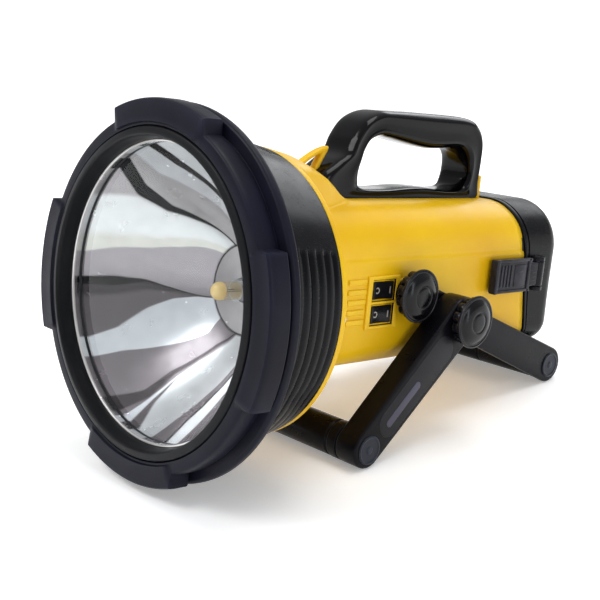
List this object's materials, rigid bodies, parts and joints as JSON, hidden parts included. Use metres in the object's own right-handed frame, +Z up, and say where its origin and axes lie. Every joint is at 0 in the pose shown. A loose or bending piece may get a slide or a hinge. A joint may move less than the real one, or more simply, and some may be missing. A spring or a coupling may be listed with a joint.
{
  "type": "hand lamp",
  "caption": "Rechargeable hand lamp with a large round head, a loop handle, rocker switches, a latched back cover and a knob-clamped folding stand.",
  "frame": {"origin": "on the ground under the middle of the lamp's length and width", "axes": "the lens faces -Y, +X is the switch side, +Z is up; the lamp is stored standing on its bumper lug and its stand, nose slightly up"},
  "size_m": [0.2186, 0.3509, 0.2211],
  "materials": {
    "bumper_rubber": "satin, moulded in concentric steps",
    "bezel_plastic": "satin",
    "lens_clear": "polished, clear",
    "seal_rubber": "matte",
    "reflector_chrome": "polished, softly streaked",
    "bulb_amber": "clear with an amber tip",
    "plated_steel": "plated",
    "holder_ceramic": "unglazed ceramic",
    "wire_sleeve": "satin insulation",
    "head_plastic": "satin moulded plastic",
    "body_yellow": "semi-gloss moulded plastic",
    "handle_black": "gloss moulded plastic",
    "battery_case": "matte",
    "foam_pad": "foam",
    "brass_metal": "plain",
    "switch_black": "satin",
    "stand_black": "satin moulded plastic",
    "foot_cap_grey": "satin",
    "knob_black": "gloss",
    "cover_black": "semi-gloss",
    "latch_black": "gloss"
  },
  "bodies": {
    "lamp": {"bezel_bumper": "bumper_rubber", "bezel_ring": "bezel_plastic", "lens": "lens_clear", "lens_gasket": "seal_rubber", "reflector": "reflector_chrome", "bulb_glass": "bulb_amber", "bulb_base": "plated_steel", "bulb_holder": "holder_ceramic", "bulb_clip": "plated_steel", "bulb_leads": "wire_sleeve", "head_collar": "head_plastic", "collar_screws": "plated_steel", "neck_flange": "body_yellow", "body_right_shell": "body_yellow", "body_left_shell": "body_yellow", "shell_screws": "plated_steel", "handle": "handle_black", "handle_screws": "plated_steel", "strap_lug": "body_yellow", "handle_heel": "body_yellow", "battery": "battery_case", "battery_pads": "foam_pad", "battery_terminals": "brass_metal", "wiring": "wire_sleeve", "switch_housings": "switch_black", "charging_inlet": "switch_black", "pivot_bolts": "plated_steel", "latch_strikes": "body_yellow"},
    "stand_frame": {"frame_arm_right": "stand_black", "frame_arm_left": "stand_black", "frame_crossbar": "stand_black", "leg_bolts": "plated_steel", "foot_caps_frame": "foot_cap_grey"},
    "stand_leg": {"leg_arm_right": "stand_black", "leg_arm_left": "stand_black", "leg_crossbar": "stand_black", "foot_caps_leg": "foot_cap_grey"},
    "frame_knob_right": {"knob_frame_right": "knob_black", "knob_insert_frame_right": "brass_metal"},
    "frame_knob_left": {"knob_frame_left": "knob_black", "knob_insert_frame_left": "brass_metal"},
    "leg_knob_right": {"knob_leg_right": "knob_black", "knob_insert_leg_right": "brass_metal"},
    "leg_knob_left": {"knob_leg_left": "knob_black", "knob_insert_leg_left": "brass_metal"},
    "upper_switch": {"rocker_upper": "switch_black"},
    "lower_switch": {"rocker_lower": "switch_black"},
    "back_cover": {"rear_cover": "cover_black", "cover_seal": "seal_rubber", "latch_pin_right": "plated_steel", "latch_pin_left": "plated_steel"},
    "right_latch": {"latch_right": "latch_black"},
    "left_latch": {"latch_left": "latch_black"}
  },
  "joints": [
    {"name": "frame_hinge", "type": "hinge", "parent": "lamp", "child": "stand_frame", "pos_m": [0, 0.0034, 0.0958], "axis": [1, 0, 0], "range_deg": [-8, 1]},
    {"name": "leg_hinge", "type": "hinge", "parent": "stand_frame", "child": "stand_leg", "pos_m": [0, 0.03639, 0.07638], "axis": [1, 0, 0], "range_deg": [-4, 100]},
    {"name": "frame_knob_right_turn", "type": "hinge", "parent": "lamp", "child": "frame_knob_right", "pos_m": [0.0633, 0.0034, 0.0958], "axis": [1, 0, 0], "range_deg": [0, 360]},
    {"name": "frame_knob_left_turn", "type": "hinge", "parent": "lamp", "child": "frame_knob_left", "pos_m": [-0.0633, 0.0034, 0.0958], "axis": [-1, 0, 0], "range_deg": [0, 360]},
    {"name": "leg_knob_right_turn", "type": "hinge", "parent": "stand_frame", "child": "leg_knob_right", "pos_m": [0.0813, 0.03639, 0.07638], "axis": [1, 0, 0], "range_deg": [0, 360]},
    {"name": "leg_knob_left_turn", "type": "hinge", "parent": "stand_frame", "child": "leg_knob_left", "pos_m": [-0.0813, 0.03639, 0.07638], "axis": [-1, 0, 0], "range_deg": [0, 360]},
    {"name": "upper_switch_press", "type": "hinge", "parent": "lamp", "child": "upper_switch", "pos_m": [0.0488, -0.01677, 0.10065], "axis": [0, 0.1149, 0.9934], "range_deg": [0, 12]},
    {"name": "lower_switch_press", "type": "hinge", "parent": "lamp", "child": "lower_switch", "pos_m": [0.0488, -0.01851, 0.08565], "axis": [0, 0.1149, 0.9934], "range_deg": [0, 12]},
    {"name": "back_cover_slide", "type": "slide", "parent": "lamp", "child": "back_cover", "axis": [0, 0.9934, -0.1149], "range_m": [0, 0.06]},
    {"name": "right_latch_swing", "type": "hinge", "parent": "back_cover", "child": "right_latch", "pos_m": [0.055, 0.1398, 0.08616], "axis": [0, 0.1149, 0.9934], "range_deg": [0, 100]},
    {"name": "left_latch_swing", "type": "hinge", "parent": "back_cover", "child": "left_latch", "pos_m": [-0.055, 0.1398, 0.08616], "axis": [0, -0.1149, -0.9934], "range_deg": [0, 100]}
  ]
}
